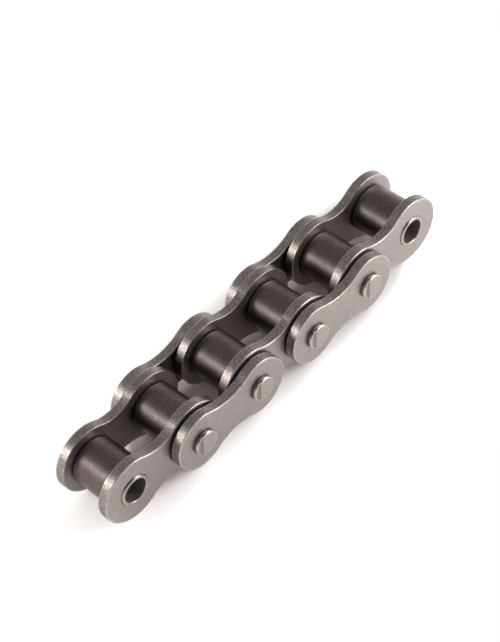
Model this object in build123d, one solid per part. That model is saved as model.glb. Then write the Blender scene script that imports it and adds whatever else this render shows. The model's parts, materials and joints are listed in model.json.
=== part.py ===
from build123d import *
import math
import os

# A short length of plain motorcycle roller chain, in the common 5/8 inch pitch size.
# X runs along the chain, Y along the pins and Z is up.
# The chain stands on the lower edges of its inner plates, centred over the origin.

# Driving sizes of the chain, in millimetres
pitch = 15.875
inner_link_count = 3

# Inner plates
inner_width = 9.53
inner_plate_thickness = 2.03
inner_plate_height = 14.5
inner_waist_height = 9.9

# Outer plates
outer_plate_thickness = 2.03
outer_plate_height = 12.9
outer_waist_height = 9.0

# Rounding of the blanked plates: the die rolls one edge over, tumbling breaks the other
rolled_edge_radius = 0.2
broken_edge_radius = 0.1
hole_mouth_chamfer = 0.1

# Pins, with a riveted head at each end
pin_diameter = 5.08
pin_proud = 1.05
pin_head_spread = 0.3
pin_rim_radius = 0.4

# The riveting chisel's groove beside the middle of each head: one steep wall, one long flank
chisel_offset = 0.95
chisel_turn = 9.0
chisel_depth = 0.25
chisel_lean = 20.0
chisel_width = 1.5

# Bushes
bush_wall = 0.75
bush_proud = 0.35
bush_mouth_radius = 0.25
bush_rim_radius = 0.4

# Rollers
roller_diameter = 10.16
roller_end_radius = 0.45
roller_mouth_chamfer = 0.2

# Clearances
pin_running_clearance = 0.05
roller_running_clearance = 0.05
roller_side_clearance = 0.15
link_side_clearance = 0.1

# How near two radii are when an edge is picked by its radius
matching_tolerance = 0.001

# Places that follow from the sizes above
outer_link_count = inner_link_count - 1
joint_count = 2 * inner_link_count
pin_radius = pin_diameter / 2
pin_head_radius = pin_radius + pin_head_spread
bush_bore_radius = pin_radius + pin_running_clearance
bush_radius = bush_bore_radius + bush_wall
roller_bore_radius = bush_radius + roller_running_clearance
roller_half_length = inner_width / 2 - roller_side_clearance
inner_plate_inside = inner_width / 2
inner_plate_outside = inner_plate_inside + inner_plate_thickness
bush_half_length = inner_plate_outside + bush_proud
outer_plate_inside = bush_half_length + link_side_clearance
outer_plate_outside = outer_plate_inside + outer_plate_thickness
pin_half_length = outer_plate_outside + pin_proud
axis_height = inner_plate_height / 2


def joint_x(number):
    """Place along the chain of one joint, counted from 1."""
    return (number - (joint_count + 1) / 2) * pitch


def at_joint(number):
    """Frame of one joint: origin on the pin's axis, Z along the pin towards the back."""
    return Plane(origin=(joint_x(number), 0, axis_height), x_dir=(1, 0, 0), z_dir=(0, 1, 0))


def plate_outline(end_radius, waist_half):
    """Waisted outline of a plate: round ends joined by hollow arcs that meet them smoothly.

    The hollow's radius is the one that touches both ends and the waist."""
    half = pitch / 2
    hollow = (half**2 + waist_half**2 - end_radius**2) / (2 * (end_radius - waist_half))
    hollow_height = waist_half + hollow
    reach = end_radius / (end_radius + hollow)
    touch = (half * reach, hollow_height * reach)
    far = (pitch - touch[0], touch[1])
    with BuildSketch() as sketch:
        with BuildLine():
            ThreePointArc((touch[0], -touch[1]), (-end_radius, 0), touch)
            ThreePointArc(touch, (half, waist_half), far)
            ThreePointArc(far, (pitch + end_radius, 0), (far[0], -far[1]))
            ThreePointArc((far[0], -far[1]), (half, -waist_half), (touch[0], -touch[1]))
        make_face()
    return sketch.sketch


def plate(end_radius, waist_half, thickness, hole_radius):
    """Blanked plate lying on Z = 0, first hole at the origin, rolled edge on top."""
    blank = extrude(plate_outline(end_radius, waist_half), amount=thickness)
    top_edges = blank.faces().sort_by(Axis.Z)[-1].outer_wire().edges()
    blank = fillet(top_edges, rolled_edge_radius)
    under_edges = blank.faces().sort_by(Axis.Z)[0].outer_wire().edges()
    blank = fillet(under_edges, broken_edge_radius)
    for hole_x in (0, pitch):
        through = Cylinder(hole_radius, thickness, align=(Align.CENTER, Align.CENTER, Align.MIN))
        mouth = Cone(
            hole_radius,
            hole_radius + hole_mouth_chamfer,
            hole_mouth_chamfer,
            align=(Align.CENTER, Align.CENTER, Align.MAX),
        )
        blank -= Pos(hole_x, 0, 0) * through
        blank -= Pos(hole_x, 0, thickness) * mouth
    return blank


def seat_plate(shape, number, inside, side):
    """Puts a plate on a joint with its rolled edge outwards; side is 1 at the back, -1 at the front."""
    lifted = Pos(0, 0, inside) * shape
    if side < 0:
        lifted = mirror(lifted, Plane.XY)
    return at_joint(number) * lifted


def rings_of(shape, radius):
    """Circular edges of a turned piece at one radius."""
    circles = shape.edges().filter_by(GeomType.CIRCLE)
    return circles.filter_by(lambda ring: abs(ring.radius - radius) < matching_tolerance)


def bush():
    """Solid sleeve, longer than its link is wide, with rounded ends and a smooth bore mouth."""
    sleeve = Cylinder(bush_radius, 2 * bush_half_length)
    sleeve -= Cylinder(bush_bore_radius, 2 * bush_half_length)
    sleeve = fillet(rings_of(sleeve, bush_bore_radius), bush_mouth_radius)
    return fillet(rings_of(sleeve, bush_radius), bush_rim_radius)


def roller():
    """Plain roller with rounded ends and a broken bore mouth."""
    barrel = Cylinder(roller_diameter / 2, 2 * roller_half_length)
    barrel = fillet(rings_of(barrel, roller_diameter / 2), roller_end_radius)
    barrel -= Cylinder(roller_bore_radius, 2 * roller_half_length)
    return chamfer(rings_of(barrel, roller_bore_radius), roller_mouth_chamfer)


def chisel_mark():
    """What the riveting chisel presses out of a head that ends at Z = 0, along Y."""
    wall = chisel_depth * math.tan(math.radians(chisel_lean))
    reach = 2 * pin_head_radius
    with BuildSketch(Plane.XZ) as mark:
        with BuildLine():
            Polyline(
                (-chisel_offset, 0),
                (-chisel_offset - wall, -chisel_depth),
                (-chisel_offset - chisel_width, 0),
                (-chisel_offset - chisel_width, chisel_depth),
                (-chisel_offset, chisel_depth),
                close=True,
            )
        make_face()
    return Rot(0, 0, chisel_turn) * extrude(mark.sketch, amount=reach, both=True)


def pin():
    """Pin with a head at each end that spreads towards its rounded rim and carries the mark."""
    shank = Cylinder(pin_radius, 2 * outer_plate_outside)
    head = Cone(
        pin_radius, pin_head_radius, pin_proud, align=(Align.CENTER, Align.CENTER, Align.MAX)
    )
    head = fillet(rings_of(head, pin_head_radius), pin_rim_radius)
    head = Pos(0, 0, pin_half_length) * (head - chisel_mark())
    return shank + head + mirror(head, Plane.XY)


def keep(shape, name):
    """Writes one piece under its own name."""
    shape.label = name
    export_step(shape, os.path.join("parts", name + ".step"))


os.makedirs("parts", exist_ok=True)

inner_plate = plate(
    inner_plate_height / 2, inner_waist_height / 2, inner_plate_thickness, bush_radius
)
outer_plate = plate(
    outer_plate_height / 2, outer_waist_height / 2, outer_plate_thickness, pin_radius
)
sides = {"front": -1, "back": 1}

for link in range(1, inner_link_count + 1):
    first_joint = 2 * link - 1
    for side_name, side in sides.items():
        seated = seat_plate(inner_plate, first_joint, inner_plate_inside, side)
        keep(seated, f"inner_plate_{link}_{side_name}")
    for joint in (first_joint, first_joint + 1):
        keep(at_joint(joint) * bush(), f"bush_{joint}")
        keep(at_joint(joint) * roller(), f"roller_{joint}")

for link in range(1, outer_link_count + 1):
    first_joint = 2 * link
    for side_name, side in sides.items():
        seated = seat_plate(outer_plate, first_joint, outer_plate_inside, side)
        keep(seated, f"outer_plate_{link}_{side_name}")
    for joint in (first_joint, first_joint + 1):
        keep(at_joint(joint) * pin(), f"pin_{joint - 1}")
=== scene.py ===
import json
import math
import random

import bpy
from mathutils import Matrix, Vector
from mathutils.geometry import delaunay_2d_cdt


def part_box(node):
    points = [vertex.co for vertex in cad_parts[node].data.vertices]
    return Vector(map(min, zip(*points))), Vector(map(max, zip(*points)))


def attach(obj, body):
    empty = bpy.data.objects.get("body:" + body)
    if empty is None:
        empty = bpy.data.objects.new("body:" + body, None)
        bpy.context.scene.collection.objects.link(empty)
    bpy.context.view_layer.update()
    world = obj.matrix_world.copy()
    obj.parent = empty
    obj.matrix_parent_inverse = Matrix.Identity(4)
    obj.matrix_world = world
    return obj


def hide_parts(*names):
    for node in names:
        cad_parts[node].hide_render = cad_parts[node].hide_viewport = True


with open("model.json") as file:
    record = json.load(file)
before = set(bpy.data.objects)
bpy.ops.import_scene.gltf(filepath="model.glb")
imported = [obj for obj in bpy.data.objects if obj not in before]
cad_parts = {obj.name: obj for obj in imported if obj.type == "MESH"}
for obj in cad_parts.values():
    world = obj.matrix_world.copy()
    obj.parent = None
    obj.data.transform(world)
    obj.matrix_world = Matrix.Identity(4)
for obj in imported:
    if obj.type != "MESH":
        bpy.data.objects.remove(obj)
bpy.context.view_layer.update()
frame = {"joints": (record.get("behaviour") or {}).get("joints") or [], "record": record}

# A length of plain roller chain on a white table.
# Lengths are in metres; X runs along the chain, Y along the pins and Z is up.
# Lengths inside a finish are in millimetres.

MM = 0.001

# Camera, as it stood when the photograph was taken
PHOTO_HEIGHT_PX = 642
PHOTO_WIDTH_PX = 500
CAMERA_TURN = math.radians(-38.295)
CAMERA_TILT = math.radians(49.656)
CAMERA_ROLL = math.radians(-11.467)
CAMERA_DISTANCE = 0.34765
CAMERA_CLIP = 0.01
FOCAL_PX = 1788.65
CHAIN_MIDDLE_PX = (253.76, 337.96)
SENSOR = 36.0

# Places of the chain's axes, from one end to the other, and the links between them
JOINTS = {joint["child"]: Vector(joint["pos_m"]) for joint in frame["joints"]}
AXES = [JOINTS[f"roller_body_{number}"] for number in range(1, 7)]
PITCH = AXES[1].x - AXES[0].x
AXIS_HEIGHT = AXES[0].z
LINKS = ("inner_link_1", "outer_link_1", "inner_link_2", "outer_link_2", "inner_link_3")

# Sizes taken from the boxes of the pieces
INNER_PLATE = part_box("inner_plate_1_front")
OUTER_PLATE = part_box("outer_plate_1_front")
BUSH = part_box("bush_1")
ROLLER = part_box("roller_1")
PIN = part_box("pin_1")
INNER_END_RADIUS = (INNER_PLATE[1].z - INNER_PLATE[0].z) / 2
OUTER_END_RADIUS = (OUTER_PLATE[1].z - OUTER_PLATE[0].z) / 2
INNER_OUTSIDE, INNER_INSIDE = -INNER_PLATE[0].y, -INNER_PLATE[1].y
OUTER_OUTSIDE, OUTER_INSIDE = -OUTER_PLATE[0].y, -OUTER_PLATE[1].y
BUSH_HALF = BUSH[1].y
BUSH_RADIUS = (BUSH[1].z - BUSH[0].z) / 2
ROLLER_HALF = ROLLER[1].y
ROLLER_RADIUS = (ROLLER[1].z - ROLLER[0].z) / 2
PIN_HALF = PIN[1].y
HEAD_RADIUS = (PIN[1].z - PIN[0].z) / 2

# Sizes that the boxes don't give
INNER_WAIST = 4.95 * MM
OUTER_WAIST = 4.5 * MM
BORE_RADIUS = 2.59 * MM
SHANK_RADIUS = 2.54 * MM
ROLLER_BORE = 3.39 * MM
ROLLED_EDGE = 0.2 * MM
BROKEN_EDGE = 0.1 * MM
HOLE_MOUTH = 0.1 * MM
BUSH_RIM = 0.4 * MM
BUSH_MOUTH = 0.25 * MM
ROLLER_END = 0.45 * MM
ROLLER_MOUTH = 0.2 * MM
HEAD_RIM = 0.4 * MM

# The riveting chisel's groove beside the middle of a pin's head
CHISEL_OFFSET = 0.95 * MM
CHISEL_TURN = math.radians(9)
CHISEL_DEPTH = 0.25 * MM
CHISEL_WIDTH = 1.5 * MM
CHISEL_LEAN = math.radians(45)
CHISEL_ROUND = 0.2 * MM

# What blanking leaves on a plate's edge, as shares of its thickness: the tear starts in this range
TORN_FROM = (0.42, 0.5)
TORN_LIP = 0.05
TORN_HOLLOW = 0.08
FURROW_DEPTH = 0.024 * MM
FURROW_CHATTER = 0.4

# How finely the pieces are made
OUTLINE_STEP = 0.16 * MM
TURNED_SEGMENTS = 128
ROUND_STEPS = 5
BROKEN_STEPS = 3
SHARP_ANGLE = math.radians(32)
HEAD_FLAT_POINTS = 36
HEAD_STRUCK_POINTS = 22
HEAD_ROW_POINTS = 28
TRIANGLES_INSIDE = 1
FILL_TOLERANCE = 1e-9

# Where the marks for the finishes begin and end
EDGE_MARGIN = 0.3 * MM
MOUTH_MARGIN = 0.25 * MM
MOUTH_BULGE = 0.3
BORE_DARK_FROM = 2.2 * BUSH_MOUTH
BORE_LIGHT_TO = 0.6 * BUSH_MOUTH
ROLLER_WORN_TO = 1.6 * ROLLER_END
HEAD_FOOT = 0.1 * MM
STRUCK_FROM = 0.05 * MM

# Range that most of a cloudy noise lies in
CLOUDY = (0.3, 0.7)


class Wire:
    """A socket that carries a value. Sums and products of wires add Math nodes."""

    def __init__(self, finish, socket):
        self.finish = finish
        self.socket = socket

    def maths(self, operation, first, second):
        return self.finish.node("ShaderNodeMath", {"operation": operation}, {0: first, 1: second})

    def __add__(self, other):
        return self.maths("ADD", self, other)

    def __sub__(self, other):
        return self.maths("SUBTRACT", self, other)

    def __rsub__(self, other):
        return self.maths("SUBTRACT", other, self)

    def __mul__(self, other):
        return self.maths("MULTIPLY", self, other)

    __radd__ = __add__
    __rmul__ = __mul__

    def between(self, low, high):
        """0 below low, 1 above high, and smooth between them."""
        return self.finish.node(
            "ShaderNodeMapRange",
            {"interpolation_type": "SMOOTHSTEP"},
            {"Value": self, "From Min": low, "From Max": high},
        )


class Finish:
    """A material and the nodes that make it, or the nodes of a tree that is there already."""

    def __init__(self, name=None, tree=None):
        if tree is None:
            self.material = bpy.data.materials.new(name)
            self.material.use_nodes = True
            tree = self.material.node_tree
        self.tree = tree
        self.tree.nodes.clear()

    def node(self, kind, settings=None, sockets=None, out=0):
        """Adds a node: its settings first, then values or links for its sockets."""
        made = self.tree.nodes.new(kind)
        for name, value in (settings or {}).items():
            setattr(made, name, value)
        for name, value in (sockets or {}).items():
            if isinstance(value, Wire):
                self.tree.links.new(value.socket, made.inputs[name])
            else:
                made.inputs[name].default_value = value
        return Wire(self, made.outputs[out]) if len(made.outputs) else None

    def vector(self, operation, first, second=None, out="Vector"):
        """Vector maths on one or two places."""
        sockets = {0: first} if second is None else {0: first, 1: second}
        return self.node("ShaderNodeVectorMath", {"operation": operation}, sockets, out)

    def part(self, spot, axis):
        """One coordinate of a place."""
        return self.node("ShaderNodeSeparateXYZ", {}, {"Vector": spot}, axis)

    def place(self, seen_from=None):
        """Where a point lies on its piece, or seen from another object, in millimetres."""
        spot = self.node("ShaderNodeTexCoord", {"object": seen_from}, out="Object")
        return self.vector("MULTIPLY", spot, (1 / MM, 1 / MM, 1 / MM))

    def grain(self, spot, scale, detail=3.0, rough=0.55):
        """Cloudy noise from 0 to 1."""
        sockets = {"Vector": spot, "Scale": scale, "Detail": detail, "Roughness": rough}
        return self.node("ShaderNodeTexNoise", {}, sockets)

    def marked(self, name):
        """A value that was written on the mesh."""
        return self.node("ShaderNodeAttribute", {"attribute_name": name}, out="Fac")

    def mix(self, amount, first, second):
        """Colour that goes from first to second."""
        sockets = {"Factor": amount, 6: first, 7: second}
        return self.node("ShaderNodeMix", {"data_type": "RGBA"}, sockets, out=2)

    def layer(self, colour, over, where, share):
        """A colour laid over another one, as strong as share where the mask is 1."""
        return self.mix(where * share, colour, over)

    def bump(self, height, depth):
        """Normal of a surface that is raised by depth where height is 1."""
        sockets = {"Height": height, "Distance": depth * MM, "Strength": 1.0}
        return self.node("ShaderNodeBump", {}, sockets)

    def shade(self, **sockets):
        """Ends the material with the standard shader."""
        named = {name.replace("_", " "): value for name, value in sockets.items()}
        self.finish_with(self.node("ShaderNodeBsdfPrincipled", {}, named))
        return self.material

    def finish_with(self, shader):
        self.node("ShaderNodeOutputMaterial", {}, {"Surface": shader})


def grey(r, g, b):
    return (r, g, b, 1.0)


# The finishes

PLATE_DARK = grey(0.34, 0.305, 0.292)
PLATE_LIGHT = grey(0.46, 0.42, 0.405)
PLATE_NICK = grey(0.22, 0.19, 0.18)
TORN_DARK = grey(0.235, 0.195, 0.19)
TORN_LIGHT = grey(0.46, 0.412, 0.398)
CORNER_WEAR_AND_HIGHLIGHT = grey(0.64, 0.59, 0.56)
INNER_FACE_SHADE = grey(0.11, 0.088, 0.083)
TEAR_STRETCH = (1.0, 0.45, 1.0)
FEW_NICKS = (0.68, 0.78)
TORN_PATCHES = (0.35, 0.65)
CORNER_PATCHES = (0.3, 0.55)
PLATE_ROUGH = 0.37
PLATE_CLOUD_DULLS = 0.08
EDGE_SHINES = 0.11
TEAR_DULLS = 0.12
CORNER_SHINES = 0.08
PLATE_GRIT = 0.4
EDGE_TEAR = 0.6


def plate_steel():
    """Blanked and tumbled plates: soft warm faces, a torn edge band, and rounded edges made paler
    partly by wear and partly by painted highlight.
    """
    steel = Finish("plate_steel")
    spot = steel.place()
    edge = steel.marked("edge_band")
    corner = steel.marked("corner")
    oiled = steel.marked("oiled")
    cloud = steel.grain(spot, scale=0.35, detail=4.0)
    grit = steel.grain(spot, scale=3.4, rough=0.7)
    nick = steel.grain(spot, scale=1.7, detail=2.0, rough=0.5)
    tear = steel.grain(steel.vector("MULTIPLY", spot, TEAR_STRETCH), scale=4.0, rough=0.75)
    face = steel.mix(grit.between(*CLOUDY), PLATE_DARK, PLATE_LIGHT)
    face = steel.layer(face, PLATE_DARK, cloud.between(*CLOUDY), share=0.3)
    face = steel.layer(face, PLATE_NICK, nick.between(*FEW_NICKS), share=0.5)
    band = steel.mix(tear.between(*TORN_PATCHES), TORN_DARK, TORN_LIGHT)
    colour = steel.mix(edge, face, band)
    # Rounded corners are paler: partly wear, partly a painted highlight
    colour = steel.layer(colour, CORNER_WEAR_AND_HIGHLIGHT, corner * nick.between(*CORNER_PATCHES), share=0.6)
    # Painted shade on the inner faces of the outer plates, between the plates
    colour = steel.layer(colour, INNER_FACE_SHADE, oiled, share=0.65)
    rough = PLATE_ROUGH + cloud * PLATE_CLOUD_DULLS - edge * EDGE_SHINES
    rough = rough + edge * tear * TEAR_DULLS - corner * CORNER_SHINES
    raised = steel.bump(grit * PLATE_GRIT + edge * tear * EDGE_TEAR, depth=0.03)
    return steel.shade(Base_Color=colour, Metallic=1.0, Roughness=rough, Normal=raised)


BUSH_DARK = grey(0.37, 0.335, 0.32)
BUSH_LIGHT = grey(0.47, 0.43, 0.41)
BORE_DARK = grey(0.23, 0.185, 0.178)
BUSH_RINGS = (0.0, 6.0, 0.0)
BORE_METAL_LOSS = 0.55
BUSH_ROUGH = 0.14
BUSH_CLOUD_DULLS = 0.08
BORE_DULLS = 0.2


def bush_steel():
    """Ground sleeve with a polished mouth and a duller bore, painted darker inside as shade."""
    steel = Finish("bush_steel")
    spot = steel.place()
    bore = steel.marked("bore")
    cloud = steel.grain(spot, scale=0.6)
    ring = steel.grain(steel.vector("MULTIPLY", spot, BUSH_RINGS), scale=2.0, rough=0.7)
    colour = steel.mix(cloud, BUSH_DARK, BUSH_LIGHT)
    # The bore is painted darker deeper in, as shade, and loses some of its metal
    colour = steel.mix(bore, colour, BORE_DARK)
    metal = 1 - bore * BORE_METAL_LOSS
    rough = BUSH_ROUGH + cloud * BUSH_CLOUD_DULLS + bore * BORE_DULLS
    raised = steel.bump(ring, depth=0.006)
    return steel.shade(Base_Color=colour, Metallic=metal, Roughness=rough, Normal=raised)


ROLLER_DARK = grey(0.096, 0.071, 0.069)
ROLLER_LIGHT = grey(0.205, 0.166, 0.166)
ROLLER_CLOUD = grey(0.096, 0.071, 0.067)
ROLLER_NICK = grey(0.45, 0.41, 0.39)
ROLLER_WORN = grey(0.24, 0.21, 0.20)
ROLLER_RINGS = (0.05, 5.0, 0.05)
FEWER_NICKS = (0.78, 0.82)
ROLLER_ROUGH = 0.34
ROLLER_CLOUD_DULLS = 0.12
ROLLER_RING = 0.25
HARD_SKIN = 0.6
HARD_SKIN_ROUGH = 0.4


def roller_steel():
    """Hardened roller, dark brown-grey, with a fine grain and a few bright nicks."""
    steel = Finish("roller_steel")
    spot = steel.place()
    corner = steel.marked("corner")
    cloud = steel.grain(spot, scale=0.5, detail=4.0)
    grit = steel.grain(spot, scale=3.2, rough=0.75)
    nick = steel.grain(spot, scale=1.3, detail=1.0, rough=0.5)
    ring = steel.grain(steel.vector("MULTIPLY", spot, ROLLER_RINGS), scale=2.0, rough=0.7)
    colour = steel.mix(grit.between(*CLOUDY), ROLLER_DARK, ROLLER_LIGHT)
    colour = steel.layer(colour, ROLLER_CLOUD, cloud.between(*CLOUDY), share=0.35)
    colour = steel.layer(colour, ROLLER_NICK, nick.between(*FEWER_NICKS), share=0.8)
    colour = steel.layer(colour, ROLLER_WORN, corner, share=0.4)
    return steel.shade(
        Base_Color=colour,
        Metallic=1.0,
        Roughness=ROLLER_ROUGH + cloud * ROLLER_CLOUD_DULLS,
        Coat_Weight=HARD_SKIN,
        Coat_Roughness=HARD_SKIN_ROUGH,
        Normal=steel.bump(ring * ROLLER_RING + grit, depth=0.022),
    )


HEAD_DARK = grey(0.39, 0.357, 0.34)
HEAD_LIGHT = grey(0.46, 0.425, 0.405)
HEAD_NICK = grey(0.30, 0.27, 0.255)
HEAD_STRUCK = grey(0.2, 0.175, 0.165)
HEAD_RIM_HIGHLIGHT = grey(0.80, 0.76, 0.72)
HEAD_FOOT_SHADE = grey(0.10, 0.08, 0.075)
HEAD_NICKS = (0.5, 0.68)
STRUCK_PATCHES = (0.2, 0.7)
HEAD_ROUGH = 0.32
HEAD_CLOUD_DULLS = 0.1
STRUCK_DULLS = 0.1
RIM_SHINES = 0.15
HEAD_RING = 0.6
HEAD_GRIT = 0.4


def pin_steel():
    """Riveted pin heads: ground face, faint turning rings, a rim with painted highlight, a darker
    struck side and painted shade at the foot.
    """
    steel = Finish("pin_steel")
    spot = steel.place()
    reach = steel.node("ShaderNodeCombineXYZ", {}, {"X": steel.marked("reach")})
    corner = steel.marked("corner")
    struck = steel.marked("struck")
    foot_shade = steel.marked("foot_shade")
    cloud = steel.grain(spot, scale=0.7)
    grit = steel.grain(spot, scale=2.6, rough=0.7)
    nick = steel.grain(spot, scale=1.9, rough=0.6)
    ring = steel.grain(reach, scale=2.5, detail=2.0, rough=0.7)
    colour = steel.mix(cloud, HEAD_DARK, HEAD_LIGHT)
    colour = steel.layer(colour, HEAD_NICK, nick.between(*HEAD_NICKS), share=0.35)
    colour = steel.layer(colour, HEAD_STRUCK, struck * grit.between(*STRUCK_PATCHES), share=0.8)
    # The rounded rim is painted paler, as a painted highlight
    colour = steel.layer(colour, HEAD_RIM_HIGHLIGHT, corner, share=0.3)
    # Painted shade at the foot of each head, next to the plate
    colour = steel.layer(colour, HEAD_FOOT_SHADE, foot_shade, share=0.85)
    rough = HEAD_ROUGH + cloud * HEAD_CLOUD_DULLS + struck * STRUCK_DULLS - corner * RIM_SHINES
    raised = steel.bump(ring * HEAD_RING + grit * HEAD_GRIT, depth=0.025)
    return steel.shade(Base_Color=colour, Metallic=1.0, Roughness=rough, Normal=raised)


# The table's tones for the camera are above 1 because the photograph is exposed for a white table
TABLE_PLAIN = grey(0.9, 0.9, 0.9)
TABLE_OPEN = grey(2.6, 2.6, 2.6)
# Painted shade beside and under the chain; the warm tint under it is a painted reflection of the
# steel
BESIDE_START = grey(2.13, 2.11, 2.11)
BESIDE_END = grey(1.24, 1.23, 1.23)
UNDER_FRONT = grey(1.75, 1.6, 1.58)
UNDER_BACK = grey(0.96, 0.86, 0.855)

# The shade lies round a line that is slanted against the chain; ranges are distances from that line
SHADE_SLANT = 0.8
SHADE_MIDDLE = (3.6, 3, 0)
SHADE_LENGTH = (30, 0, 0)
SHADE_MIRRORED = 0.43
UNDER_FADES = (8.3, 10.2)
BESIDE_FADES = (11, 17)
WHITE_GROWS = (22, 60)

# Ranges along the slanted line, across the chain, and of a link that swings away
SHADE_DEEPENS = (-33, 39)
UNDER_DARKENS = (2.4, 6)
LINK_TURNS_TO_NEXT = 2
LINK_LEAVES = (0.5, 3)


def standing(table, place, along, seats):
    """1 where the nearest link stands on the table, 0 where it has swung away."""
    axes = [axis.x / MM for axis in AXES[1:-1]]
    passed = [along.between(x - LINK_TURNS_TO_NEXT, x + LINK_TURNS_TO_NEXT) for x in axes]
    shares = []
    for number, seat in enumerate(seats):
        share = passed[number - 1] if number else 1
        if number < len(passed):
            share = share - passed[number]
        moved = table.vector("DISTANCE", place, table.place(seat), "Value")
        shares.append(share * (1 - moved.between(*LINK_LEAVES)))
    return sum(shares)


def table_white(seats):
    """White table: exposed to full white in the open, with painted shade that makes it greyer close
    to the chain.
    """
    table = Finish("table_white")
    seen = table.node("ShaderNodeLightPath", out="Is Camera Ray")
    mirrored = table.node("ShaderNodeLightPath", out="Is Glossy Ray")
    place = table.place()
    across = table.part(place, "Y")
    along = table.part(place, "X") - across * SHADE_SLANT

    spot = table.node("ShaderNodeCombineXYZ", {}, {"X": along, "Y": across})
    spot = table.vector("ABSOLUTE", table.vector("SUBTRACT", spot, SHADE_MIDDLE))
    spot = table.vector("MAXIMUM", table.vector("SUBTRACT", spot, SHADE_LENGTH), (0, 0, 0))
    away = table.vector("LENGTH", spot, out="Value")
    near_link = standing(table, place, along, seats)

    deepened = seen * along.between(*SHADE_DEEPENS) + mirrored * SHADE_MIRRORED
    beside = table.mix(deepened, BESIDE_START, BESIDE_END)
    open_share = seen * (1 - near_link * (1 - away.between(*BESIDE_FADES)))
    board = table.mix(open_share, beside, TABLE_OPEN)
    under = table.mix(across.between(*UNDER_DARKENS), UNDER_FRONT, UNDER_BACK)
    board = table.mix(near_link * (1 - away.between(*UNDER_FADES)), board, under)
    board = table.mix(seen + mirrored, TABLE_PLAIN, board)

    dull = {"Base Color": board, "Roughness": 1.0, "Specular IOR Level": 0.0}
    lit = table.node("ShaderNodeBsdfPrincipled", {}, dull)
    white = table.node("ShaderNodeEmission", {}, {"Color": grey(1, 1, 1), "Strength": 1.0})
    burnt_out = seen * away.between(*WHITE_GROWS)
    table.finish_with(table.node("ShaderNodeMixShader", {}, {0: burnt_out, 1: lit, 2: white}))
    return table.material


# The meshes


class Shell:
    """Points, faces and marks of one piece while it is being made."""

    def __init__(self):
        self.points = []
        self.faces = []
        self.marks = {}

    def ring(self, points, **marks):
        """Adds points and returns their numbers; marks are values written on each of them."""
        first = len(self.points)
        self.points.extend(points)
        numbers = list(range(first, first + len(points)))
        for name, value in marks.items():
            self.marks.setdefault(name, {}).update({number: value for number in numbers})
        return numbers

    def join(self, rings):
        """Closes the strips between rings of as many points, each with the next one."""
        for ring, other in zip(rings, rings[1:]):
            for n in range(len(ring)):
                after = (n + 1) % len(ring)
                self.faces.append((ring[n], other[n], other[after], ring[after]))

    def fill(self, outer, holes):
        """Faces of the flat area in X and Z between an outer ring and its holes."""
        numbers = []
        edges = []
        for loop in (outer, *holes):
            start = len(numbers)
            numbers.extend(loop)
            edges.extend((start + n, start + (n + 1) % len(loop)) for n in range(len(loop)))
        spots = [Vector((self.points[number][0], self.points[number][2])) for number in numbers]
        made = delaunay_2d_cdt(spots, edges, [], TRIANGLES_INSIDE, FILL_TOLERANCE)
        origins = [numbers[found[0]] for found in made[3]]
        faces = [tuple(origins[corner] for corner in face) for face in made[2]]
        return [face for face in faces if not any(set(face) <= set(hole) for hole in holes)]

    def mesh(self, name, place, flip):
        """Makes the mesh, with its points moved by place; flip turns its faces over."""
        made = bpy.data.meshes.new(name)
        faces = [tuple(reversed(face)) for face in self.faces] if flip else self.faces
        made.from_pydata([place @ Vector(point) for point in self.points], [], faces)
        for mark, values in self.marks.items():
            layer = made.attributes.new(mark, "FLOAT", "POINT")
            for number, value in values.items():
                layer.data[number].value = value
        made.polygons.foreach_set("use_smooth", [True] * len(made.polygons))
        made.set_sharp_from_angle(angle=SHARP_ANGLE)
        made.update()
        return made


def circle():
    """Even points of a full turn, as cosine and sine."""
    turns = [2 * math.pi * n / TURNED_SEGMENTS for n in range(TURNED_SEGMENTS)]
    return [(math.cos(turn), math.sin(turn)) for turn in turns]


def rounded(radius, steps):
    """Quarter round as (in from the side, down from the face), from the face to the side."""
    turns = [math.pi / 2 * n / steps for n in range(steps + 1)]
    return [(radius * (1 - math.sin(turn)), radius * (1 - math.cos(turn))) for turn in turns]


def outline(end_radius, waist):
    """Points of a plate's waisted outline, each with its outward direction, evenly spaced."""
    half = PITCH / 2
    hollow = (half**2 + waist**2 - end_radius**2) / (2 * (end_radius - waist))
    height = waist + hollow
    touch = math.atan2(height, half)
    open_angle = math.pi / 2 - touch
    down = math.pi / 2
    points = []

    def arc(centre, radius, start, stop, hollowed):
        steps = max(2, round(abs(stop - start) * radius / OUTLINE_STEP))
        for n in range(steps):
            angle = start + (stop - start) * n / steps
            way = Vector((math.cos(angle), math.sin(angle)))
            points.append((Vector(centre) + way * radius, -way if hollowed else way))

    arc((0, 0), end_radius, touch, 2 * math.pi - touch, False)
    arc((half, -height), hollow, down + open_angle, down - open_angle, True)
    arc((PITCH, 0), end_radius, touch - math.pi, math.pi - touch, False)
    arc((half, height), hollow, open_angle - down, -open_angle - down, True)
    return points


def plate_edge(thickness, torn_from):
    """A plate's edge from its outer face to its inner one, as (in from the outline, y, marks).

    The marks are how much of it is edge band, how much is corner and how deep it is torn."""
    # Height as a share of the thickness, and how deep the edge is torn there
    levels = (
        (0.84, 0.4),
        (0.7, 0.6),
        (torn_from + TORN_LIP, 0.6),
        (torn_from, 1),
        (torn_from - TORN_HOLLOW, 1),
        (0.25, 1),
        (0.14, 1),
    )
    edge = [(ROLLED_EDGE + EDGE_MARGIN, -thickness, 0, 0, 0)]
    for inward, fall in rounded(ROLLED_EDGE, ROUND_STEPS):
        edge.append((inward, -thickness + fall, fall / ROLLED_EDGE, 1, 0))
    for level, torn in levels:
        edge.append((0.0, -thickness * level, 1, 0, torn))
    for inward, fall in reversed(rounded(BROKEN_EDGE, BROKEN_STEPS)):
        edge.append((inward, -fall, fall / BROKEN_EDGE, 1, 0))
    edge.append((BROKEN_EDGE + EDGE_MARGIN, 0.0, 0, 0, 0))
    return edge


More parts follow.
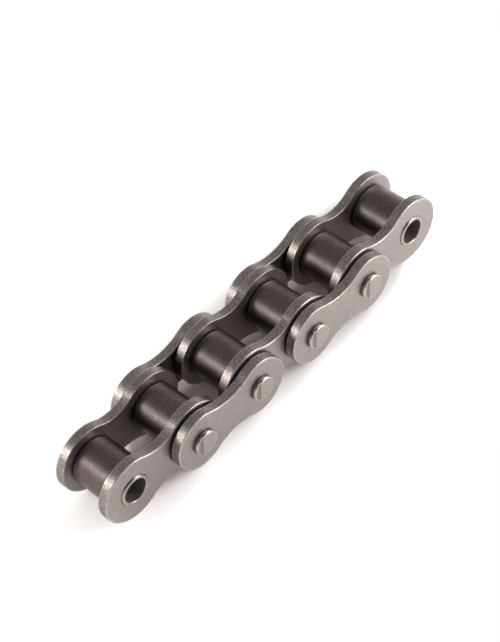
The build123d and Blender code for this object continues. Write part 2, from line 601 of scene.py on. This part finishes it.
def hole_edge(thickness, radius):
    """A hole from the outer face to the inner one, as (radius, y, how much is edge band)."""
    bulge = HOLE_MOUTH * MOUTH_BULGE
    return (
        (radius + HOLE_MOUTH + MOUTH_MARGIN, -thickness, 0),
        (radius + HOLE_MOUTH, -thickness, 0.3),
        (radius + bulge, -thickness + bulge, 0.8),
        (radius, -thickness + HOLE_MOUTH, 1),
        (radius, 0.0, 1),
    )


def plate_shell(end_radius, waist, thickness, hole_radius, oiled, seed):
    """A plate from its first hole: outer face at Y = -thickness, inner face at 0."""
    dice = random.Random(seed)
    shell = Shell()
    spots = outline(end_radius, waist)
    count = len(spots)
    furrow = [dice.uniform(-1, 1) for _ in range(count)]
    furrow = [(furrow[n - 1] + 2 * furrow[n] + furrow[(n + 1) % count]) / 4 for n in range(count)]

    rings = []
    for inward, y, band, corner, torn in plate_edge(thickness, dice.uniform(*TORN_FROM)):
        ring = []
        for n, (spot, way) in enumerate(spots):
            waves = 1 + furrow[n] + FURROW_CHATTER * dice.uniform(-1, 1)
            at = spot - way * (inward + FURROW_DEPTH * torn * waves / 2)
            ring.append((at.x, y, at.y))
        # Outer plates get painted shade on the points of their inner face
        shade_share = oiled if y == 0.0 else 0
        rings.append(shell.ring(ring, edge_band=band, corner=corner, oiled=shade_share))
    shell.join(rings)

    holes = []
    for centre in (0, PITCH):
        loops = []
        for radius, y, band in hole_edge(thickness, hole_radius):
            ring = [(centre + radius * c, y, radius * s) for c, s in circle()]
            shade_share = oiled if y == 0.0 else 0
            loops.append(shell.ring(ring, edge_band=band, corner=0, oiled=shade_share))
        shell.join(loops[::-1])
        holes.append(loops)

    front = shell.fill(rings[0], [loops[0] for loops in holes])
    back = shell.fill(rings[-1], [loops[-1] for loops in holes])
    shell.faces.extend(front)
    shell.faces.extend(tuple(reversed(face)) for face in back)
    return shell


def turned_shell(end):
    """A turned sleeve from the profile of its +Y end, as (radius, y, marks) out of the bore."""
    near = [(radius, -y, marks) for radius, y, marks in end]
    shell = Shell()
    rings = []
    for radius, y, marks in near + end[::-1]:
        rings.append(shell.ring([(radius * c, y, radius * s) for c, s in circle()], **marks))
    shell.join(rings + rings[:1])
    return shell


def bush_shell():
    end = [(BORE_RADIUS, BUSH_HALF - BORE_DARK_FROM, {"bore": 1})]
    for inward, fall in reversed(rounded(BUSH_MOUTH, ROUND_STEPS)):
        mark = {"bore": 0 if fall < BORE_LIGHT_TO else 0.5}
        end.append((BORE_RADIUS + inward, BUSH_HALF - fall, mark))
    for inward, fall in rounded(BUSH_RIM, ROUND_STEPS):
        end.append((BUSH_RADIUS - inward, BUSH_HALF - fall, {"bore": 0}))
    return turned_shell(end)


def roller_shell():
    end = [
        (ROLLER_BORE, ROLLER_HALF - 2 * ROLLER_MOUTH, {"corner": 0}),
        (ROLLER_BORE, ROLLER_HALF - ROLLER_MOUTH, {"corner": 0}),
        (ROLLER_BORE + ROLLER_MOUTH, ROLLER_HALF, {"corner": 0}),
    ]
    for inward, fall in rounded(ROLLER_END, ROUND_STEPS):
        end.append((ROLLER_RADIUS - inward, ROLLER_HALF - fall, {"corner": 1}))
    end.append((ROLLER_RADIUS, ROLLER_HALF - ROLLER_WORN_TO, {"corner": 0}))
    return turned_shell(end)


def groove_stations():
    """The chisel's groove as (across, fall): a rounded lip, a leaning wall and a long flank."""
    steep = math.pi / 2 - CHISEL_LEAN
    start = CHISEL_ROUND * math.tan(steep / 2) - CHISEL_OFFSET
    stations = []
    for n in range(ROUND_STEPS + 1):
        turn = steep * n / ROUND_STEPS
        across = start - CHISEL_ROUND * math.sin(turn)
        stations.append((across, CHISEL_ROUND * (1 - math.cos(turn))))
    across, fall = stations[-1]
    stations.append((across - (CHISEL_DEPTH - fall) / math.tan(steep), CHISEL_DEPTH))
    stations.append((-CHISEL_OFFSET - CHISEL_WIDTH, 0.0))
    return stations


def chisel_fall(across):
    """How far a head is pressed down at one distance across the groove."""
    stations = groove_stations()
    if across >= stations[0][0]:
        return 0.0
    for (high, fall), (low, next_fall) in zip(stations, stations[1:]):
        if across >= low:
            return fall + (next_fall - fall) * (high - across) / (high - low)
    return 0.0


def head_turns(radius):
    """Angles of the points of one ring of a head: even, with one on each line of the groove."""
    lines = [math.acos(across / radius) for across, fall in groove_stations()[:-1]]
    half = [lines[0] * n / HEAD_FLAT_POINTS for n in range(HEAD_FLAT_POINTS)] + lines
    rest = (math.pi - lines[-1]) / HEAD_STRUCK_POINTS
    half += [lines[-1] + rest * n for n in range(1, HEAD_STRUCK_POINTS)]
    return half + [math.pi] + [2 * math.pi - turn for turn in reversed(half[1:])]


def head_profile():
    """Outline of a head as (radius, distance from the middle), from its face to the plate."""
    rim_radius = HEAD_RADIUS - HEAD_RIM
    rim_height = PIN_HALF - HEAD_RIM
    inward = math.atan2(rim_radius - SHANK_RADIUS, rim_height - OUTER_OUTSIDE)
    apart = math.hypot(rim_radius - SHANK_RADIUS, rim_height - OUTER_OUTSIDE)
    flare = inward + math.asin(HEAD_RIM / apart)
    steps = 2 * ROUND_STEPS
    points = []
    for n in range(steps + 1):
        turn = math.pi / 2 - (math.pi / 2 + flare) * n / steps
        radius = rim_radius + HEAD_RIM * math.cos(turn)
        points.append((radius, rim_height + HEAD_RIM * math.sin(turn)))
    points.append((SHANK_RADIUS, OUTER_OUTSIDE))
    points.append((SHANK_RADIUS, OUTER_OUTSIDE - HEAD_FOOT))
    return points


def fill_head(shell, ring, flip):
    """Fills a head's face with rows of points that run along the groove."""
    count = len(ring)
    rows = [[ring[0]] * (HEAD_ROW_POINTS + 1)]
    for n in range(1, count // 2):
        start, stop = Vector(shell.points[ring[n]]), Vector(shell.points[ring[count - n]])
        between = [start.lerp(stop, m / HEAD_ROW_POINTS) for m in range(1, HEAD_ROW_POINTS)]
        rows.append([ring[n], *shell.ring([tuple(spot) for spot in between]), ring[count - n]])
    rows.append([ring[count // 2]] * (HEAD_ROW_POINTS + 1))
    for row, after in zip(rows, rows[1:]):
        for m in range(HEAD_ROW_POINTS):
            corners = list(dict.fromkeys((row[m], after[m], after[m + 1], row[m + 1])))
            shell.faces.append(tuple(reversed(corners)) if flip else tuple(corners))


def press_grooves(shell):
    """Presses the groove into both heads; what stands out there shrinks by the share that falls.

    Returns the points that are pressed down."""
    pressed = set()
    for number, (x, y, z) in enumerate(shell.points):
        fall = chisel_fall(x * math.cos(CHISEL_TURN) - z * math.sin(CHISEL_TURN))
        lost = fall / (PIN_HALF - OUTER_OUTSIDE)
        radius = math.hypot(x, z)
        spread = max(0.0, radius - SHANK_RADIUS)
        proud = max(0.0, abs(y) - OUTER_OUTSIDE)
        narrowed = (radius - spread * lost) / radius
        at = (x * narrowed, y - math.copysign(proud * lost, y), z * narrowed)
        shell.points[number] = at
        shell.marks["reach"][number] = radius / MM
        if fall > STRUCK_FROM:
            pressed.add(number)
    return pressed


def pin_shell():
    """A pin's two heads and the shank between them."""
    shell = Shell()
    half = head_profile()
    rings = []
    for radius, y in [(r, -y) for r, y in half] + [(r, y) for r, y in reversed(half)]:
        turns = [turn - CHISEL_TURN for turn in head_turns(radius)]
        rings.append(shell.ring([(radius * math.cos(t), y, radius * math.sin(t)) for t in turns]))
    shell.join(rings)
    fill_head(shell, rings[0], False)
    fill_head(shell, rings[-1], True)

    shell.marks = {"reach": {}, "corner": {}, "struck": {}, "foot_shade": {}}
    pressed = press_grooves(shell)
    bright = {n for i in range(1, 2 * ROUND_STEPS) for n in rings[i] + rings[-1 - i]}
    # The foot of each head, next to the plate, is marked for painted shade
    foot = {n for i in (len(half) - 2, len(half) - 1) for n in rings[i] + rings[-1 - i]}
    for number in range(len(shell.points)):
        shell.marks["corner"][number] = float(number in bright)
        shell.marks["struck"][number] = float(number in pressed and number not in foot)
        shell.marks["foot_shade"][number] = float(number in foot)
    return shell


# The chain


def plate_piece(words, seed):
    """A plate's shell and place, and whether it is the mirrored one at the back."""
    kind, _, link, side = words
    if kind == "inner":
        first, inside = AXES[2 * int(link) - 2], INNER_INSIDE
        sizes = (INNER_END_RADIUS, INNER_WAIST, INNER_OUTSIDE - INNER_INSIDE, BUSH_RADIUS)
    else:
        first, inside = AXES[2 * int(link) - 1], OUTER_INSIDE
        sizes = (OUTER_END_RADIUS, OUTER_WAIST, OUTER_OUTSIDE - OUTER_INSIDE, SHANK_RADIUS)
    shell = plate_shell(*sizes, float(kind == "outer"), seed)
    place = Matrix.Translation((0, -inside, 0))
    if side == "back":
        place = Matrix.Diagonal((1, -1, 1, 1)) @ place
    return shell, Matrix.Translation(first) @ place, side == "back"


def turned_piece(words):
    """The shell and place of a pin, bush or roller. Pins start at the second axis."""
    kind, number = words
    shells = {"bush": bush_shell, "roller": roller_shell, "pin": pin_shell}
    axis = AXES[int(number)] if kind == "pin" else AXES[int(number) - 1]
    return shells[kind](), Matrix.Translation(axis), False


def make_chain():
    """Every piece of the chain in the place of its plain solid, body by body."""
    steels = {
        "plate_steel": plate_steel(),
        "bush_steel": bush_steel(),
        "roller_steel": roller_steel(),
        "pin_steel": pin_steel(),
    }
    seed = 0
    for body, nodes in frame["record"]["behaviour"]["bodies"].items():
        for node in nodes:
            seed += 1
            words = node.split("_")
            if "plate" in words:
                slot = "plate_steel"
                shell, place, flip = plate_piece(words, seed)
            else:
                slot = words[0] + "_steel"
                shell, place, flip = turned_piece(words)
            name = node + "_finished"
            piece = bpy.data.objects.new(name, shell.mesh(name, place, flip))
            bpy.context.scene.collection.objects.link(piece)
            piece.data.materials.append(steels[slot])
            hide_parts(node)
            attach(piece, body)


# The table, the camera and the lamps

TABLE_HALF = 3.0


def make_table():
    """Plain white table under the chain. A seat rides on each link, for the table's shade."""
    seats = []
    for link in LINKS:
        seat = bpy.data.objects.new(f"{link}_seat", None)
        bpy.context.scene.collection.objects.link(seat)
        seats.append(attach(seat, link))
    corners = [(x * TABLE_HALF, y * TABLE_HALF, 0) for x, y in ((-1, -1), (1, -1), (1, 1), (-1, 1))]
    mesh = bpy.data.meshes.new("table")
    mesh.from_pydata(corners, [], [(0, 1, 2, 3)])
    mesh.materials.append(table_white(seats))
    table = bpy.data.objects.new("table", mesh)
    bpy.context.scene.collection.objects.link(table)


def make_camera():
    """Camera at the photograph's place, level and lens."""
    turn, tilt, roll = CAMERA_TURN, CAMERA_TILT, CAMERA_ROLL
    flat = math.cos(tilt)
    back = Vector((math.sin(turn) * flat, -math.cos(turn) * flat, math.sin(tilt)))
    right = Vector((math.cos(turn), math.sin(turn), 0))
    up = back.cross(right)
    rolled_right = math.cos(roll) * right + math.sin(roll) * up
    rolled_up = math.cos(roll) * up - math.sin(roll) * right
    aside = (CHAIN_MIDDLE_PX[0] - PHOTO_WIDTH_PX / 2) / FOCAL_PX * CAMERA_DISTANCE
    above = (PHOTO_HEIGHT_PX / 2 - CHAIN_MIDDLE_PX[1]) / FOCAL_PX * CAMERA_DISTANCE
    middle = Vector((0, 0, AXIS_HEIGHT))
    place = middle - aside * rolled_right - above * rolled_up + CAMERA_DISTANCE * back
    lens = bpy.data.cameras.new("camera")
    lens.sensor_fit = "VERTICAL"
    lens.sensor_height = SENSOR
    lens.lens = FOCAL_PX / PHOTO_HEIGHT_PX * SENSOR
    lens.clip_start = CAMERA_CLIP
    camera = bpy.data.objects.new("camera", lens)
    bpy.context.scene.collection.objects.link(camera)
    turned = Matrix((rolled_right, rolled_up, back)).transposed().to_4x4()
    camera.matrix_world = Matrix.Translation(place) @ turned
    bpy.context.scene.camera = camera


LEFT_SOFTBOX = {
    "direction": (-0.71, 0.51, 0.485),
    "distance": 0.28,
    "width": 0.08,
    "height": 0.08,
    "power": 0.143,
    "colour": (0.98, 1.0, 0.95),
}
FRONT_SOFTBOX = {
    "direction": (0.75, -0.62, 0.5),
    "distance": 0.22,
    "width": 0.18,
    "height": 0.11,
    "power": 0.32,
    "colour": (1, 1, 1),
}


def softbox(name, direction, distance, width, height, power, colour):
    """Rectangular lamp that looks at the chain from one direction."""
    lamp = bpy.data.lights.new(name, "AREA")
    lamp.shape = "RECTANGLE"
    lamp.size = width
    lamp.size_y = height
    lamp.energy = power
    lamp.color = colour
    holder = bpy.data.objects.new(name, lamp)
    bpy.context.scene.collection.objects.link(holder)
    way = Vector(direction).normalized()
    holder.location = way * distance
    holder.rotation_euler = way.to_track_quat("Z", "Y").to_euler()


# How bright the room is low down and overhead, at the front and at the back
ROOM_TINT = grey(1.0, 0.965, 0.955)
ROOM_LOW = 1.0
ROOM_FRONT = 0.12
ROOM_BACK = 0.37
ROOM_RISES = (0.1, 0.55)
ROOM_DEEPENS = (-0.1, 0.45)


def light_room():
    """Studio room: dim overhead, bright low down all round, plain white where the camera sees it."""
    world = bpy.data.worlds.new("room")
    bpy.context.scene.world = world
    world.use_nodes = True
    room = Finish(tree=world.node_tree)
    way = room.node("ShaderNodeTexCoord", out="Generated")
    seen = room.node("ShaderNodeLightPath", out="Is Camera Ray")
    low = 1 - room.part(way, "Z").between(*ROOM_RISES)
    behind = room.part(way, "Y").between(*ROOM_DEEPENS)
    ceiling = ROOM_FRONT + behind * (ROOM_BACK - ROOM_FRONT)
    light = ceiling + low * (ROOM_LOW - ceiling)
    glow = seen + (1 - seen) * light
    tint = room.mix(seen, ROOM_TINT, grey(1, 1, 1))
    back = room.node("ShaderNodeBackground", {}, {"Color": tint, "Strength": glow})
    room.node("ShaderNodeOutputWorld", {}, {"Surface": back})


make_camera()
light_room()
softbox("left_softbox", **LEFT_SOFTBOX)
softbox("front_softbox", **FRONT_SOFTBOX)
make_table()
make_chain()

bpy.context.scene.view_settings.view_transform = "Standard"
